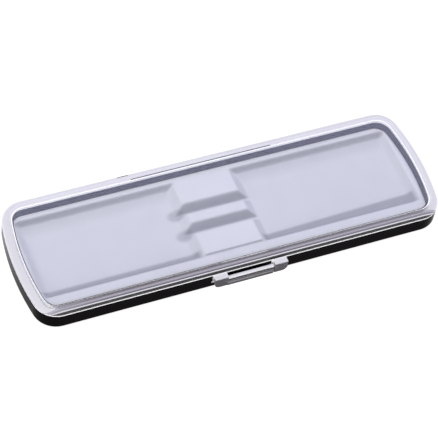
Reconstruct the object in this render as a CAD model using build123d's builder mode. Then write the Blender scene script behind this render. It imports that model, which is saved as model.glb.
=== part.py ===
"""Slim hinged pencil case: black base, clear lid, flocked insert, swinging clasp.

Millimetres.  +X runs along the case, -Y is the clasp side, +Y the hinge side, +Z up.
The origin is the centre of the underside that the case rests on.
"""
import os

from build123d import *

# ---- overall size ----
LENGTH = 190.0
WIDTH = 60.0
END_BOW = 3.8            # how far each end swells past its corners
CORNER_R = 10.5
SHOULDER_Z = 8.55        # flat top of the base's wall, where the lid lands
TOP_Z = 12.8
BOTTOM_EDGE_R = 2.0
LID_EDGE_R = 3.2

# ---- walls ----
BASE_WALL = 3.8
FLOOR_T = 1.4
LID_WALL = 3.7           # the lid's sides are as thick as the base's
LID_TOP_T = 1.5
LID_HOLLOW_R = 1.2
PART_GAP = 0.15          # shoulder to the lid's lower edge
EDGE_R = 0.3             # broken edges of the shoulder

# ---- hinge, along X at the back ----
HINGE_Y = WIDTH / 2 - 0.5
HINGE_Z = 6.8
BARREL_R = 1.5
BARREL_HALF = 33.0       # half length of the base's barrel
EAR_W = 5.0
HINGE_GAP = 0.2
PIN_R = 0.6
PIN_BITE = 4.8           # how far each pin goes into the barrel
PIN_CLEARANCE = 0.05
PIN_CHAMFER = 0.12
EAR_STRAP_T = 1.2        # the straps that carry the ears

# ---- clasp and its lugs, at the front ----
LUG_INNER = 10.7
LUG_W = 6.0
LUG_REACH = 2.8          # lugs stand this far out of the front wall
LUG_BOTTOM = 3.4
LUG_TOP = 9.0
LUG_CORNER_R = 2.4
LEG_T = 1.0              # the legs that carry the lugs, inside the base's pocket
RECESS_DEPTH = 1.2       # pocket in the base behind the clasp
RECESS_SIDE = 0.35
RECESS_BOTTOM = 2.2
CLASP_GAP = 0.15
CLASP_Y = -WIDTH / 2 - 1.3
CLASP_Z = 6.05
CLASP_BARREL_R = 1.1
CLASP_PLATE_T = 0.9
CLASP_BOTTOM = 2.5
LIP_T = 0.8
LIP_REACH = 2.7          # lip tip, measured in from the plate's outer face
STUB_R = 0.6
STUB_LENGTH = 1.35
CATCH_HALF = 9.0
CATCH_REACH = 1.5
CATCH_BOTTOM = 3.5
CATCH_TOP = 4.3
CATCH_NOSE = 0.3         # height of the catch's tip, below its slope
CATCH_BACK_REACH = 0.5   # how far the catch stands out at its top
ROOT = 0.2               # overlap that joins a feature to its wall

# ---- flocked insert, a thin formed sheet ----
SHEET_T = 0.8
FLANGE_Z = 5.4
INSERT_GAP = 0.5
WELL_TOP_X = 87.4        # half length of the well at the flange
WELL_FLOOR_X = 83.0
WELL_TOP_BACK = 22.0
WELL_FLOOR_BACK = 12.0
WELL_TOP_FRONT = -18.6
WELL_FLOOR_FRONT = -16.4
WELL_CORNER_R = 7.0
BLOCK_TOP_X = 12.8       # half length of the pencil rest at its top
BLOCK_FOOT_X = 17.6
BLOCK_BACK = 22.8
BLOCK_FRONT = -17.4
GROOVE_R = 3.0
GROOVE_Y = (8.6, -2.3)
SLIVER = 0.01            # keeps the rest's foot from lying exactly in the floor's face

FRONT_Y = -WIDTH / 2
BACK_Y = WIDTH / 2
SKIRT_Z = SHOULDER_Z + PART_GAP

os.makedirs("parts", exist_ok=True)


def case_face(inset):
    """Plan of the case: straight long sides, bowed ends and round corners, moved in by inset."""
    x_corner = LENGTH / 2 - END_BOW
    with BuildSketch(mode=Mode.PRIVATE) as plan:
        with BuildLine():
            Line((-x_corner, -WIDTH / 2), (x_corner, -WIDTH / 2))
            ThreePointArc((x_corner, -WIDTH / 2), (LENGTH / 2, 0), (x_corner, WIDTH / 2))
            Line((x_corner, WIDTH / 2), (-x_corner, WIDTH / 2))
            ThreePointArc((-x_corner, WIDTH / 2), (-LENGTH / 2, 0), (-x_corner, -WIDTH / 2))
        make_face()
        fillet(plan.vertices(), CORNER_R)
        if inset:
            offset(amount=-inset, mode=Mode.REPLACE)
    return plan.sketch


def write(part, name):
    """Label a finished piece and write it to its own file."""
    part.label = name
    export_step(part, f"parts/{name}.step")


# ---- base_shell: tray with thick walls, the hinge barrel and the catch ----
with BuildPart() as base_shell:
    with BuildSketch():
        add(case_face(0))
    extrude(amount=SHOULDER_Z)
    fillet(base_shell.edges().group_by(Axis.Z)[0], BOTTOM_EDGE_R)
    with BuildSketch(Plane.XY.offset(FLOOR_T)):
        add(case_face(BASE_WALL))
    extrude(amount=SHOULDER_Z, mode=Mode.SUBTRACT)
    fillet(base_shell.edges().group_by(Axis.Z)[-1], EDGE_R)

    # barrel on the back wall, a notch beyond each end of it for the lid's ears
    with Locations((0, HINGE_Y, HINGE_Z)):
        Cylinder(BARREL_R, 2 * BARREL_HALF, rotation=(0, 90, 0))
    notch_front = HINGE_Y - BARREL_R - HINGE_GAP
    notch_bottom = HINGE_Z - BARREL_R - HINGE_GAP
    with Locations(*[(side * (BARREL_HALF + EAR_W / 2 + HINGE_GAP), notch_front, notch_bottom)
                     for side in (-1, 1)]):
        Box(EAR_W + 2 * HINGE_GAP, 4 * BARREL_R, SHOULDER_Z,
            align=(Align.CENTER, Align.MIN, Align.MIN), mode=Mode.SUBTRACT)
    with Locations(*[(side * (BARREL_HALF - PIN_BITE / 2), HINGE_Y, HINGE_Z) for side in (-1, 1)]):
        Cylinder(PIN_R, PIN_BITE, rotation=(0, 90, 0), mode=Mode.SUBTRACT)

    # pocket and catch behind the clasp
    with Locations((0, FRONT_Y + RECESS_DEPTH, RECESS_BOTTOM)):
        Box(2 * (LUG_INNER + LUG_W + RECESS_SIDE), 2 * RECESS_DEPTH, SHOULDER_Z - RECESS_BOTTOM,
            align=(Align.CENTER, Align.MAX, Align.MIN), mode=Mode.SUBTRACT)
    recess_y = FRONT_Y + RECESS_DEPTH
    with BuildSketch(Plane.YZ.offset(-CATCH_HALF)):
        Polygon((recess_y + ROOT, CATCH_BOTTOM), (recess_y - CATCH_REACH, CATCH_BOTTOM),
                (recess_y - CATCH_REACH, CATCH_BOTTOM + CATCH_NOSE),
                (recess_y - CATCH_BACK_REACH, CATCH_TOP), (recess_y + ROOT, CATCH_TOP), align=None)
    extrude(amount=2 * CATCH_HALF)
write(base_shell.part, "base_shell")


# ---- lid_shell: clear dome with the hinge ears and the clasp lugs ----
with BuildPart() as lid_hollow:
    with BuildSketch(Plane.XY.offset(SHOULDER_Z)):
        add(case_face(LID_WALL))
    extrude(amount=TOP_Z - LID_TOP_T - SHOULDER_Z)
    fillet(lid_hollow.edges().group_by(Axis.Z)[-1], LID_HOLLOW_R)

with BuildPart() as lid_shell:
    with BuildSketch(Plane.XY.offset(SKIRT_Z)):
        add(case_face(0))
    extrude(amount=TOP_Z - SKIRT_Z)
    fillet(lid_shell.edges().group_by(Axis.Z)[-1], LID_EDGE_R)
    add(lid_hollow.part, mode=Mode.SUBTRACT)

    # an ear hangs on a strap beyond each end of the barrel
    for side in (-1, 1):
        ear_centre = side * (BARREL_HALF + HINGE_GAP + EAR_W / 2)
        with Locations((ear_centre, HINGE_Y, HINGE_Z)):
            Cylinder(BARREL_R, EAR_W, rotation=(0, 90, 0))
        with Locations((ear_centre, BACK_Y, HINGE_Z)):
            Box(EAR_W, EAR_STRAP_T, SKIRT_Z + ROOT - HINGE_Z, align=(Align.CENTER, Align.MAX, Align.MIN))
        with Locations((ear_centre, HINGE_Y, HINGE_Z)):
            Cylinder(PIN_R + PIN_CLEARANCE, EAR_W, rotation=(0, 90, 0), mode=Mode.SUBTRACT)

    # a lug each side of the clasp, on a leg that hangs from the lid's edge into the pocket
    for side in (-1, 1):
        lug_centre = side * (LUG_INNER + LUG_W / 2)
        with Locations((lug_centre, FRONT_Y + LEG_T, LUG_BOTTOM)):
            Box(LUG_W, LEG_T, SKIRT_Z + ROOT - LUG_BOTTOM, align=(Align.CENTER, Align.MAX, Align.MIN))
        with BuildSketch(Plane.XZ.offset(-FRONT_Y)) as lug_front:
            with Locations((lug_centre, LUG_BOTTOM)):
                Rectangle(LUG_W, LUG_TOP - LUG_BOTTOM, align=(Align.CENTER, Align.MIN))
            outer_corners = lug_front.vertices().group_by(Axis.X)[0 if side < 0 else -1]
            fillet(outer_corners.sort_by(Axis.Y)[0], LUG_CORNER_R)
        extrude(amount=LUG_REACH)
    with Locations((0, CLASP_Y, CLASP_Z)):
        Cylinder(STUB_R + PIN_CLEARANCE, 2 * (LUG_INNER + STUB_LENGTH), rotation=(0, 90, 0),
                 mode=Mode.SUBTRACT)
write(lid_shell.part, "lid_shell")


# ---- clasp: barrel on two stubs, a plate and a hooked lip ----
with BuildPart() as clasp:
    half = LUG_INNER - CLASP_GAP
    plate_y = CLASP_Y - CLASP_BARREL_R
    with BuildSketch(Plane.YZ.offset(-half)):
        with Locations((CLASP_Y, CLASP_Z)):
            Circle(CLASP_BARREL_R)
        with Locations((plate_y, CLASP_BOTTOM)):
            Rectangle(CLASP_PLATE_T, CLASP_Z - CLASP_BOTTOM, align=(Align.MIN, Align.MIN))
            Rectangle(LIP_REACH, LIP_T, align=(Align.MIN, Align.MIN))
    extrude(amount=2 * half)
    with Locations((0, CLASP_Y, CLASP_Z)):
        Cylinder(STUB_R, 2 * (LUG_INNER + STUB_LENGTH - CLASP_GAP), rotation=(0, 90, 0))
write(clasp.part, "clasp")


# ---- hinge pins, pressed into the barrel and free in the ears ----
pin_length = PIN_BITE + HINGE_GAP + EAR_W
for name, side in (("hinge_pin_left", -1), ("hinge_pin_right", 1)):
    with BuildPart() as hinge_pin:
        with Locations((side * (BARREL_HALF - PIN_BITE + pin_length / 2), HINGE_Y, HINGE_Z)):
            Cylinder(PIN_R, pin_length, rotation=(0, 90, 0))
        chamfer(hinge_pin.edges().filter_by(GeomType.CIRCLE), PIN_CHAMFER)
    write(hinge_pin.part, name)


# ---- flocked_insert: one thin sheet, the gap between its upper and its lower surface ----
def insert_form(depth):
    """Solid under the insert's upper surface, moved down and in by depth."""
    with BuildPart() as form:
        with BuildSketch(Plane.XY.offset(FLOOR_T)):
            add(case_face(BASE_WALL + INSERT_GAP + depth))
        extrude(amount=FLANGE_Z - depth - FLOOR_T)
        floor_z = FLOOR_T + SHEET_T - depth
        with BuildSketch(Plane.XY.offset(floor_z)):
            with Locations((0, (WELL_FLOOR_BACK + WELL_FLOOR_FRONT) / 2)):
                RectangleRounded(2 * (WELL_FLOOR_X + depth), WELL_FLOOR_BACK - WELL_FLOOR_FRONT + 2 * depth,
                                 WELL_CORNER_R)
        with BuildSketch(Plane.XY.offset(FLANGE_Z - depth)):
            with Locations((0, (WELL_TOP_BACK + WELL_TOP_FRONT) / 2)):
                RectangleRounded(2 * (WELL_TOP_X + depth), WELL_TOP_BACK - WELL_TOP_FRONT + 2 * depth,
                                 WELL_CORNER_R)
        loft(mode=Mode.SUBTRACT)
        # pencil rest across the middle, with two lengthwise grooves
        top_z = FLANGE_Z - depth
        with BuildSketch(Plane.XZ.offset(-BLOCK_BACK + depth)):
            Polygon((-BLOCK_FOOT_X + depth, floor_z - SLIVER), (BLOCK_FOOT_X - depth, floor_z - SLIVER),
                    (BLOCK_TOP_X - depth / 2, top_z), (-BLOCK_TOP_X + depth / 2, top_z), align=None)
        extrude(amount=BLOCK_BACK - BLOCK_FRONT - 2 * depth)
        with Locations(*[(0, y, FLANGE_Z) for y in GROOVE_Y]):
            Cylinder(GROOVE_R + depth, 2 * BLOCK_FOOT_X, rotation=(0, 90, 0), mode=Mode.SUBTRACT)
    return form.part


insert_under = insert_form(SHEET_T)
with BuildPart() as flocked_insert:
    add(insert_form(0))
    add(insert_under, mode=Mode.SUBTRACT)
write(flocked_insert.part, "flocked_insert")
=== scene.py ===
"""Looks of the pencil case: materials for the CAD nodes, a formed flocked insert, floor, light and camera.

The frame is the CAD's own: +X along the case, -Y the clasp side, +Z up, z = 0 on the floor.
Named sizes and places are millimetres, and MM turns them into the scene's metres.
"""

import math

import bpy
import numpy as np
from mathutils import Matrix, Vector


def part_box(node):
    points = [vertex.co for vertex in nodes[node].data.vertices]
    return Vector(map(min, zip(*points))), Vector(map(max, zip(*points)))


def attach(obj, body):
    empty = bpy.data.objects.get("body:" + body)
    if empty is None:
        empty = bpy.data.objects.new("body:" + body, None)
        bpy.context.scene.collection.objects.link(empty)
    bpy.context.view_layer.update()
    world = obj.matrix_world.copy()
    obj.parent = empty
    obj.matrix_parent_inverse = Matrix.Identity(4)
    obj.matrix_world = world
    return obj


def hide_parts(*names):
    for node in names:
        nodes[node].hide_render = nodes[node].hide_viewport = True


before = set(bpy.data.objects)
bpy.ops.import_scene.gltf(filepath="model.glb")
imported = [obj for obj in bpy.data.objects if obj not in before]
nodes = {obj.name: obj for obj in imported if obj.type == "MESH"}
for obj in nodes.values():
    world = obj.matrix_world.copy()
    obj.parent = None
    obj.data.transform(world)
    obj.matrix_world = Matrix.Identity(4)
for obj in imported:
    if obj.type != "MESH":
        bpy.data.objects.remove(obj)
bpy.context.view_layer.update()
scene = bpy.context.scene
MM = 0.001

# ---- outline of the case ----
HALF_L = 95.0
HALF_W = 30.0
END_BOW = 3.8             # how far each end bows out
CORNER_R = 10.5

# ---- lower edge of the lid's walls; widths are measured inwards from the outline ----
SKIRT_Z = 8.7             # height of the edge's face
LEVEL = 0.02              # a point this close to a height lies at it
EDGE_LINE = 0.7           # height of the painted highlight, a matt white line up the sides of the edge
FRONT_BED = 2.6           # strip along the front that looks clear, as if bedded on the base
LEFT_BED = 1.2            # the same along the left end
LEFT_BED_END = 12.0       # and the y where that one stops
MAUVE_BAND = (3.0, 4.2)   # band of painted shade behind the front strip
INNER_FACE = (3.2, 4.2)   # the front wall's inner face, which has no painted highlight line
THIN_LINE = 0.22          # width of the parting line, and half the width of the hinge's line
HINGE_LINE_Y = 27.2
HINGE_LINE_HALF = 33.0

# ---- clasp and lugs ----
CLASP_LINE_Z = 6.72       # foot of the painted highlight line along the top of the clasp
LUG_FACE_Y = -32.7        # the lugs' front faces lie in front of this
CLASP_FACE_DEPTH = 0.1    # the same for the clasp, from its foremost point
SMOKE = 0.8               # how much of the clear look the smoky one covers there

# ---- insert ----
FLANGE_Z = 5.4            # top of the flange and of the pencil rest
FLOOR_Z = 2.2             # top of the wells' floor
SHEET = 0.8
INSET = 4.3               # from the case's outline to the insert's
REAR_START, REAR_RUN = 9.5, 13.5       # long curve that lifts the floor towards the back
STEP_START, STEP_RUN = 20.6, 3.4       # and the short step at its top
FRONT_FOOT, FRONT_RUN = 15.2, 3.0      # front wall, from its foot outwards
END_FOOT, END_RUN = 84.2, 4.0          # end walls
REST_LEFT, REST_LEFT_RUN = 19.4, 5.2   # sloped ends of the pencil rest
REST_RIGHT, REST_RIGHT_RUN = 15.9, 4.4
REST_FRONT, REST_FRONT_RUN = 18.0, 1.1
GROOVES = ((5.4, 11.6), (-5.2, 0.9))   # y of each groove's front and back edge
GROOVE_FACE = 0.45                     # run of the steep face at its front
GROOVE_FOOT = 2.1                      # from the front edge to the foot of the slope
GROOVE_LIP = 0.2                       # from the top of the slope to the back edge
EDGE_DROP, EDGE_REACH = 0.25, 0.4      # how the insert's outer edge rolls over

# ---- shading in the flock ----
GUTTER_SHADE_SKEW = 0.028         # the painted shade in the gutter turns this much with x, right of the middle
MOUTH_X = -18.6           # left mouth of each groove, and how far its painted shade reaches
MOUTHS_Y = (7.6, -3.6)
MOUTH_REACH = (4.6, 3.4)

# ---- light and camera ----
FLOOR_GLOW = 0.88
WALLS = 0.95              # studio walls seen in the clear plastic
FILL = 0.22               # the same walls as light on the matt surfaces
AZIMUTH, ELEVATION, ROLL = (math.radians(v) for v in (29.866, 52.85, 10.126))
DISTANCE, SIDE, RISE = 803.73, 1.101, -2.147
LENS = 151.70
VIEW = Vector((-math.sin(AZIMUTH) * math.cos(ELEVATION), -math.cos(AZIMUTH) * math.cos(ELEVATION),
               math.sin(ELEVATION)))                # from the case to the camera
MIRROR = Vector((-VIEW.x, -VIEW.y, VIEW.z))         # where the lid's top reflects the camera


# ---------------------------------------------------------------- node helpers
class Nodes:
    """A material and short calls that add and wire its nodes."""

    def __init__(self, name):
        self.material = bpy.data.materials.new(name)
        self.material.use_nodes = True
        self.tree = self.material.node_tree
        self.tree.nodes.clear()
        self.out = self.tree.nodes.new("ShaderNodeOutputMaterial")
        self.place = self.tree.nodes.new("ShaderNodeTexCoord").outputs["Object"]

    def add(self, kind, **settings):
        node = self.tree.nodes.new(kind)
        for key, value in settings.items():
            setattr(node, key, value)
        return node

    def wire(self, source, socket):
        self.tree.links.new(source, socket)

    def noise(self, scale, detail=3.0, rough=0.5, where=None):
        node = self.add("ShaderNodeTexNoise")
        node.inputs["Scale"].default_value = scale
        node.inputs["Detail"].default_value = detail
        node.inputs["Roughness"].default_value = rough
        self.wire(where or self.place, node.inputs["Vector"])
        return node.outputs["Fac"]

    def stretch(self, scale, where=None, rotation=(0, 0, 0)):
        node = self.add("ShaderNodeMapping")
        node.inputs["Scale"].default_value = scale
        node.inputs["Rotation"].default_value = rotation
        self.wire(where or self.place, node.inputs["Vector"])
        return node.outputs["Vector"]

    def split(self, vector):
        node = self.add("ShaderNodeSeparateXYZ")
        self.wire(vector, node.inputs[0])
        return node.outputs["X"], node.outputs["Y"], node.outputs["Z"]

    def ramp(self, source, low, high, to_low, to_high, smooth=False):
        node = self.add("ShaderNodeMapRange", interpolation_type="SMOOTHSTEP" if smooth else "LINEAR")
        for key, value in (("From Min", low), ("From Max", high), ("To Min", to_low), ("To Max", to_high)):
            node.inputs[key].default_value = value
        self.wire(source, node.inputs["Value"])
        return node.outputs["Result"]

    def math(self, operation, a, b=None):
        node = self.add("ShaderNodeMath", operation=operation)
        for socket, value in zip(node.inputs, (a, b)):
            if value is None:
                continue
            if isinstance(value, (int, float)):
                socket.default_value = value
            else:
                self.wire(value, socket)
        return node.outputs[0]

    def below(self, value, limit):
        """1 where the value is under a limit in millimetres, else 0."""
        return self.math("LESS_THAN", value, limit * MM)

    def between(self, value, low, high):
        """1 where the value lies between two limits in millimetres, else 0."""
        return self.math("MULTIPLY", self.math("GREATER_THAN", value, low * MM), self.below(value, high))

    def colours(self, factor, low, high):
        """A colour from low to high, each of them a colour or a socket that gives one."""
        node = self.add("ShaderNodeMix", data_type="RGBA")
        self.wire(factor, node.inputs["Factor"])
        for name, value in (("A", low), ("B", high)):
            socket = next(s for s in node.inputs if s.name == name and s.type == "RGBA")
            if isinstance(value, bpy.types.NodeSocket):
                self.wire(value, socket)
            else:
                socket.default_value = (*value, 1)
        return next(s for s in node.outputs if s.type == "RGBA")

    def mix(self, factor, first, second):
        """The first shader where the factor is 0, the second where it is 1."""
        node = self.add("ShaderNodeMixShader")
        for socket, source in zip(node.inputs, (factor, first, second)):
            self.wire(source, socket)
        return node.outputs[0]

    def bump(self, height, strength, distance):
        node = self.add("ShaderNodeBump")
        node.inputs["Strength"].default_value = strength
        node.inputs["Distance"].default_value = distance
        self.wire(height, node.inputs["Height"])
        return node.outputs["Normal"]

    def clear(self, colour=(1, 1, 1)):
        node = self.add("ShaderNodeBsdfTransparent")
        node.inputs[0].default_value = (*colour, 1)
        return node.outputs[0]

    def principled(self, **values):
        node = self.add("ShaderNodeBsdfPrincipled")
        for key, value in values.items():
            socket = node.inputs[key.replace("_", " ")]
            if isinstance(value, bpy.types.NodeSocket):
                self.wire(value, socket)
            else:
                socket.default_value = (*value, 1) if isinstance(value, tuple) else value
        return node.outputs[0]

    def finish(self, shader):
        self.wire(shader, self.out.inputs["Surface"])
        return self.material


# ---------------------------------------------------------------- materials
def black_plastic():
    """Polished black moulding: faint flow marks, hairline scratches and dust in its gloss."""
    n = Nodes("black_gloss")
    cloud = n.noise(60, 4)
    hair = n.noise(900, 2, where=n.stretch((0.06, 1, 1), rotation=(0, 0, 0.35)))
    dust = n.ramp(n.noise(2600, 2), 0.62, 0.72, 0, 1)
    rough = n.math("ADD", n.ramp(cloud, 0.3, 0.7, 0.07, 0.14), n.ramp(hair, 0.6, 0.75, 0, 0.10))
    rough = n.math("ADD", rough, n.math("MULTIPLY", dust, 0.12))
    colour = n.colours(dust, (0.0016, 0.0008, 0.0014), (0.006, 0.005, 0.006))
    return n.finish(n.principled(Base_Color=colour, Roughness=rough, IOR=1.45, Specular_IOR_Level=0.012,
                                 Normal=n.bump(n.noise(240, 2), 0.05, 0.0001)))


def edge_face(n, x, y, from_front, haze):
    """The lower face of the lid's walls: a painted highlight in matt white with a band of painted shade, and
    clear strips where it looks bedded.
    """
    bow = n.math("MULTIPLY", n.math("POWER", n.math("DIVIDE", y, HALF_W * MM), 2.0), END_BOW * MM)
    from_left = n.math("SUBTRACT", n.math("ADD", x, HALF_L * MM), bow)
    from_right = n.math("SUBTRACT", HALF_L * MM, n.math("ADD", x, bow))
    from_back = n.math("SUBTRACT", HALF_W * MM, y)
    front_close = n.below(from_front, FRONT_BED)
    left_close = n.math("MULTIPLY", n.below(from_left, LEFT_BED), n.below(y, LEFT_BED_END))

    # the hinge shows through the back edge as a thin line, and the parting line round the far sides
    off_hinge = n.math("ABSOLUTE", n.math("SUBTRACT", y, HINGE_LINE_Y * MM))
    hinge = n.math("MULTIPLY", n.below(off_hinge, THIN_LINE),
                   n.below(n.math("ABSOLUTE", x), HINGE_LINE_HALF))
    parting = n.below(n.math("MINIMUM", from_right, from_back), THIN_LINE)
    close = n.math("MAXIMUM", n.math("MAXIMUM", front_close, left_close),
                   n.math("MAXIMUM", hinge, parting))

    # the band of painted shade pales towards both ends of the case and towards its inner side
    fade = n.math("MAXIMUM", n.ramp(x, 10 * MM, 92 * MM, 0, 0.4), n.ramp(x, -92 * MM, -62 * MM, 0.9, 0))
    fade = n.math("MAXIMUM", fade, n.ramp(from_front, 3.15 * MM, 3.7 * MM, 0, 1))
    # painted shade: the dark mauve band; painted highlight: the pale white over the rest of the face
    mauve = n.colours(fade, (0.11, 0.09, 0.12), (0.58, 0.56, 0.62))
    pale = n.colours(haze, (0.88, 0.87, 0.91), (0.95, 0.95, 0.97))
    edge_light_and_shade = n.principled(Base_Color=n.colours(n.between(from_front, *MAUVE_BAND), pale, mauve),
                          Roughness=0.7, Specular_IOR_Level=0.2)
    return n.mix(close, edge_light_and_shade, n.clear())


def clear_plastic(name, edge_z, seed, smoke_y):
    """Water-clear polished moulding with faint haze and hairlines.

    A matt white line of painted highlight runs up its sides from the lower edge at edge_z, the edge's own
    face carries painted highlight and painted shade, and the faces in front of smoke_y are smoky.  edge_z and
    smoke_y are millimetres.
    """
    n = Nodes(name)
    moved = n.add("ShaderNodeVectorMath", operation="ADD")
    moved.inputs[1].default_value = (seed, 0, 0)
    n.wire(n.place, moved.inputs[0])
    where = moved.outputs[0]
    hair = n.noise(1100, 2, where=n.stretch((1, 0.05, 1), where, (0, 0, 0.6)))
    haze = n.noise(45, 3, where=where)
    rough = n.math("ADD", n.ramp(haze, 0.3, 0.7, 0.0, 0.02), n.ramp(hair, 0.66, 0.8, 0, 0.05))
    glass = n.principled(Base_Color=(0.985, 0.985, 0.99), Roughness=rough, IOR=1.5,
                         Transmission_Weight=1.0)

    x, y, height = n.split(n.place)
    from_front = n.math("ADD", y, HALF_W * MM)
    inner_face = n.between(from_front, *INNER_FACE)
    # painted highlight: a matt white line up the sides just above the lower edge
    line = n.math("MULTIPLY", n.between(height, edge_z + LEVEL, edge_z + EDGE_LINE),
                  n.math("SUBTRACT", 1.0, inner_face))
    white = n.principled(Base_Color=n.colours(haze, (0.88, 0.87, 0.91), (0.95, 0.95, 0.97)),
                         Roughness=0.6)
    body = n.mix(n.math("MULTIPLY", line, 0.9), glass, white)

    smoke = n.principled(Base_Color=n.colours(haze, (0.03, 0.025, 0.035), (0.07, 0.06, 0.08)),
                         Roughness=0.12, Specular_IOR_Level=0.12)
    body = n.mix(n.math("MULTIPLY", n.below(y, smoke_y), SMOKE), body, smoke)
    body = n.mix(n.between(height, edge_z - LEVEL, edge_z + LEVEL), body,
                 edge_face(n, x, y, from_front, haze))

    # shadow rays, and rays that leave a matt surface, pass straight through
    path = n.add("ShaderNodeLightPath")
    passing = n.math("MAXIMUM", path.outputs["Is Shadow Ray"], path.outputs["Is Diffuse Ray"])
    return n.finish(n.mix(passing, body, n.clear((0.95, 0.95, 0.96))))


def painted_flock_shade(n):
    """Painted shade: how much darker, and on the tops a little lighter, the flock's colour is painted from
    place to place.
    """
    facing = n.split(n.add("ShaderNodeTexCoord").outputs["Normal"])
    x, y, z = n.split(n.place)
    low = n.ramp(z, 3.2 * MM, 5.0 * MM, 1, 0, smooth=True)

    def only_low(shade):
        return n.math("ADD", n.math("MULTIPLY", n.math("SUBTRACT", shade, 1.0), low), 1.0)

    # painted shade on faces turned to the clasp, on slopes, and in the front gutter
    turned = n.ramp(facing[1], -0.62, -0.05, 0.46, 1.0)
    tilted = n.ramp(facing[2], 0.6, 1.0, 0.84, 1.0)
    across = n.math("SUBTRACT", y, n.math("MULTIPLY", n.math("MAXIMUM", x, 0.0), GUTTER_SHADE_SKEW))
    gutter = only_low(n.ramp(across, -14.6 * MM, -12.6 * MM, 0.5, 1.0, smooth=True))
    shade = n.math("MULTIPLY", n.math("MULTIPLY", turned, tilted), gutter)
    # painted light: the flange and the top of the rest are a little lighter
    shade = n.math("MULTIPLY", shade, n.ramp(z, 4.7 * MM, 5.3 * MM, 1.0, 1.1, smooth=True))
    # an oval of painted shade at the left mouth of each groove
    for mouth_y in MOUTHS_Y:
        dx = n.math("DIVIDE", n.math("SUBTRACT", x, MOUTH_X * MM), MOUTH_REACH[0] * MM)
        dy = n.math("DIVIDE", n.math("SUBTRACT", y, mouth_y * MM), MOUTH_REACH[1] * MM)
        away = n.math("ADD", n.math("MULTIPLY", dx, dx), n.math("MULTIPLY", dy, dy))
        shade = n.math("MULTIPLY", shade, only_low(n.ramp(away, 0.15, 1.2, 0.66, 1.0, smooth=True)))
    return shade


def flock():
    """Short pale grey flock: fibre speckle, soft nap clouds and a fine raised pile."""
    n = Nodes("flock")
    fibre = n.noise(5200, 2, 0.6)
    tuft = n.noise(1700, 3, 0.6)
    nap = n.noise(90, 4, 0.55)
    cells = n.add("ShaderNodeTexVoronoi", feature="F1")
    cells.inputs["Scale"].default_value = 3600
    n.wire(n.place, cells.inputs["Vector"])
    speck = n.math("ADD", n.math("MULTIPLY", fibre, 0.5), n.math("MULTIPLY", tuft, 0.5))
    tone = n.math("ADD", n.ramp(speck, 0.3, 0.7, 0, 0.75), n.ramp(nap, 0.35, 0.65, 0, 0.25))
    shaded = n.add("ShaderNodeVectorMath", operation="SCALE")
    n.wire(n.colours(tone, (0.675, 0.685, 0.70), (0.78, 0.79, 0.80)), shaded.inputs[0])
    # the flock's colour is scaled by its painted shade and painted light
    n.wire(painted_flock_shade(n), shaded.inputs["Scale"])
    height = n.math("ADD", cells.outputs["Distance"], tuft)
    return n.finish(n.principled(Base_Color=shaded.outputs["Vector"], Roughness=1.0, Specular_IOR_Level=0.1,
                                 Sheen_Weight=0.12, Sheen_Roughness=0.5, Sheen_Tint=(0.9, 0.92, 1.0),
                                 Normal=n.bump(height, 0.22, 0.00005)))


def drawn_steel():
    """Drawn wire: fine lines along its length."""
    n = Nodes("drawn_steel")
    lines = n.noise(4000, 3, where=n.stretch((0.02, 1, 1)))
    return n.finish(n.principled(Base_Color=n.colours(lines, (0.45, 0.45, 0.46), (0.68, 0.68, 0.68)),
                                 Metallic=1.0, Roughness=n.ramp(lines, 0.3, 0.7, 0.22, 0.42),
                                 Normal=n.bump(lines, 0.2, 0.00003)))


def paint(node, material):
    """Gives a CAD node one material in every slot."""
    slots = nodes[node].material_slots
    for slot in slots:
        slot.material = material
    if not slots:
        nodes[node].data.materials.append(material)


clasp_face_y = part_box("clasp")[0].y / MM + CLASP_FACE_DEPTH
paint("base_shell", black_plastic())
paint("lid_shell", clear_plastic("clear_lid", SKIRT_Z, 0.0, LUG_FACE_Y))
paint("clasp", clear_plastic("clear_clasp", CLASP_LINE_Z, 0.31, clasp_face_y))
steel = drawn_steel()
paint("hinge_pin_left", steel)
paint("hinge_pin_right", steel)


# ---------------------------------------------------------------- flocked insert
def half_length(y):
    """Half length of the insert's outline at y: a bowed end with a round corner."""
    radius = (HALF_W ** 2 + END_BOW ** 2) / (2 * END_BOW)
    centre = HALF_L - radius
    corner_y = HALF_W - CORNER_R
    corner_x = centre + math.sqrt((radius - CORNER_R) ** 2 - corner_y ** 2)
    touch_y = corner_y * (radius - INSET) / (radius - CORNER_R)
    y = np.abs(y)
    bow = centre + np.sqrt(np.maximum((radius - INSET) ** 2 - y ** 2, 0))
    corner = corner_x + np.sqrt(np.maximum((CORNER_R - INSET) ** 2 - (y - corner_y) ** 2, 0))
    return np.where(y > touch_y, corner, bow)


def smooth(t):
    t = np.clip(t, 0, 1)
    return t * t * (3 - 2 * t)


def soft_min(a, b, k):
    """The smaller of two heights, blended where they are within k of each other."""
    h = np.clip(0.5 + 0.5 * (b - a) / k, 0, 1)
    return b + (a - b) * h - k * h * (1 - h)


def soft_max(a, b, k):
    return -soft_min(-a, -b, k)


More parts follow.
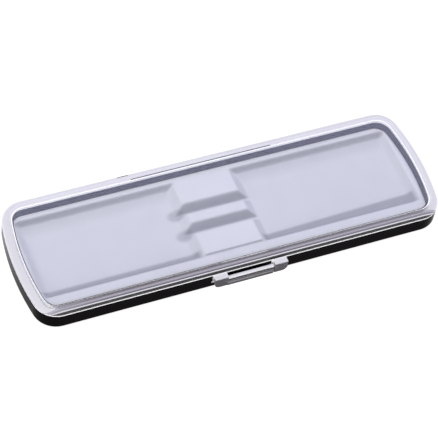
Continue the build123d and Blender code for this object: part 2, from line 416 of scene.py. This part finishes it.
def insert_height(x, y):
    """Upper surface of the insert: flange, well, and the pencil rest with its two grooves."""
    depth = FLANGE_Z - FLOOR_Z
    zero = np.zeros_like(x)
    rear = 0.6 * depth * np.clip((y - REAR_START) / REAR_RUN, 0, 1.2) ** 2.2
    rear = rear + 0.42 * depth * smooth((y - STEP_START) / STEP_RUN)
    front = soft_max(zero, depth * (-y - FRONT_FOOT) / FRONT_RUN, 0.45)
    ends = soft_max(zero, depth * (np.abs(x) - END_FOOT) / END_RUN, 1.6)
    wall = (rear ** 3 + front ** 3 + ends ** 3) ** (1 / 3)

    # rest: sloped ends, a flat top and a front that drops to the gutter
    sloped = soft_min(depth * (x + REST_LEFT) / REST_LEFT_RUN, depth * (REST_RIGHT - x) / REST_RIGHT_RUN, 0.8)
    rest = soft_min(sloped, zero + depth, 0.5)
    rest = soft_min(rest, depth * (y + REST_FRONT) / REST_FRONT_RUN, 0.5)
    # each groove: a steep face at the back of one ridge, and a slope up to the next
    for low_y, high_y in GROOVES:
        slope = depth * (y - low_y - GROOVE_FOOT) / (high_y - low_y - GROOVE_FOOT - GROOVE_LIP)
        drop = depth * (low_y + GROOVE_FACE - y) / GROOVE_FACE
        rest = soft_min(rest, np.maximum(slope, drop), 0.7)
    rest = np.maximum(rest, 0)
    h = soft_min(soft_max(wall, rest, 0.7), zero + depth, 0.35)
    return FLOOR_Z + np.clip(h, 0, depth)


def make_insert():
    """One closed sheet: the height surface, its underside a sheet's thickness below, and the trimmed rim."""
    reach = HALF_W - INSET
    corner = CORNER_R - INSET
    turn = np.linspace(0, math.pi / 2, 21)[1:]
    inner = np.linspace(-(reach - corner), reach - corner, 100)
    outer = reach - corner + corner * np.sin(turn)
    rows = np.concatenate([-outer[::-1], inner, outer])
    columns = np.linspace(-1, 1, 321)
    ends = half_length(rows)
    x = columns[None, :] * ends[:, None]
    y = np.repeat(rows[:, None], len(columns), axis=1)
    top = insert_height(x, y)
    from_edge = np.minimum((1 - np.abs(columns))[None, :] * ends[:, None], reach - np.abs(y))
    top = top - EDGE_DROP * np.clip(1 - from_edge / EDGE_REACH, 0, 1) ** 2
    r, c = x.shape
    up = np.stack([x, y, top], -1).reshape(-1, 3)
    down = np.stack([x, y, top - SHEET], -1).reshape(-1, 3)
    index = np.arange(r * c).reshape(r, c)
    quads = np.stack([index[:-1, :-1], index[:-1, 1:], index[1:, 1:], index[1:, :-1]], -1).reshape(-1, 4)
    below = quads[:, ::-1] + r * c
    loop = np.concatenate([index[0, :-1], index[:-1, -1], index[-1, :0:-1], index[:0:-1, 0]])
    after = np.roll(loop, -1)
    rim = np.stack([loop, loop + r * c, after + r * c, after], -1)
    mesh = bpy.data.meshes.new("flocked_insert_formed")
    mesh.from_pydata((np.concatenate([up, down]) * MM).tolist(), [],
                     np.concatenate([quads, below, rim]).tolist())
    mesh.polygons.foreach_set("use_smooth", [True] * len(mesh.polygons))
    mesh.update()
    made = bpy.data.objects.new("flocked_insert_formed", mesh)
    scene.collection.objects.link(made)
    mesh.materials.append(flock())
    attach(made, "base")
    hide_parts("flocked_insert")


make_insert()


# ---------------------------------------------------------------- floor, light, camera
def make_floor():
    """A pale sheet of paper, 8 m square."""
    mesh = bpy.data.meshes.new("floor")
    mesh.from_pydata([(-4, -4, 0), (4, -4, 0), (4, 4, 0), (-4, 4, 0)], [], [(0, 1, 2, 3)])
    floor = bpy.data.objects.new("floor", mesh)
    scene.collection.objects.link(floor)
    n = Nodes("floor_paper")
    colour = n.colours(n.noise(900, 2), (0.42, 0.42, 0.42), (0.46, 0.46, 0.46))
    mesh.materials.append(n.finish(n.principled(
        Base_Color=colour, Roughness=0.9, Specular_IOR_Level=0.1,
        Emission_Color=(1.0, 1.0, 1.0), Emission_Strength=FLOOR_GLOW)))


def make_world():
    """Bright walls to see in the clear plastic, and a weaker fill for the matt surfaces."""
    world = bpy.data.worlds.new("studio")
    world.use_nodes = True
    tree = world.node_tree
    background = tree.nodes["Background"]
    background.inputs[0].default_value = (1.0, 1.0, 1.0, 1)
    path = tree.nodes.new("ShaderNodeLightPath")
    level = tree.nodes.new("ShaderNodeMapRange")
    level.inputs["To Min"].default_value = WALLS
    level.inputs["To Max"].default_value = FILL
    tree.links.new(path.outputs["Is Diffuse Ray"], level.inputs["Value"])
    tree.links.new(level.outputs["Result"], background.inputs[1])
    scene.world = world


def softbox(name, direction, distance, size, radiance, colour, mirrored=True):
    """A rectangular lamp that faces the case; distance and size in metres.

    One that isn't mirrored lights the case without showing in its gloss or through its lid.
    """
    lamp = bpy.data.lights.new(name, "AREA")
    lamp.shape = "RECTANGLE"
    lamp.size, lamp.size_y = size
    lamp.energy = radiance * math.pi * size[0] * size[1]
    lamp.color = colour
    made = bpy.data.objects.new(name, lamp)
    towards = Vector(direction).normalized()
    made.location = towards * distance
    made.visible_glossy = mirrored
    made.visible_transmission = mirrored
    made.rotation_mode = "QUATERNION"
    made.rotation_quaternion = (-towards).to_track_quat("-Z", "Y")
    scene.collection.objects.link(made)


def make_camera():
    level = Vector((math.cos(AZIMUTH), -math.sin(AZIMUTH), 0))
    above = VIEW.cross(level)
    right = level * math.cos(ROLL) + above * math.sin(ROLL)
    up = -level * math.sin(ROLL) + above * math.cos(ROLL)
    eye = (VIEW * DISTANCE - right * SIDE - up * RISE) * MM
    data = bpy.data.cameras.new("camera")
    data.lens = LENS
    data.sensor_width = 36
    data.clip_start, data.clip_end = 0.05, 20
    made = bpy.data.objects.new("camera", data)
    made.matrix_world = Matrix.Translation(eye) @ Matrix((right, up, VIEW)).transposed().to_4x4()
    scene.collection.objects.link(made)
    scene.camera = made


make_floor()
make_world()
softbox("back_box", MIRROR, 0.9, (0.62, 0.5), 1.7, (0.52, 0.54, 1.0))
softbox("top_box", (-0.2, 0.0, 1.0), 1.2, (1.0, 0.7), 3.5, (1.0, 0.99, 0.97), mirrored=False)
softbox("front_box", (-0.35, -1.0, 0.22), 1.1, (1.1, 0.5), 3.0, (1.0, 1.0, 1.0), mirrored=False)
make_camera()
scene.view_settings.view_transform = "Standard"
scene.view_settings.look = "None"
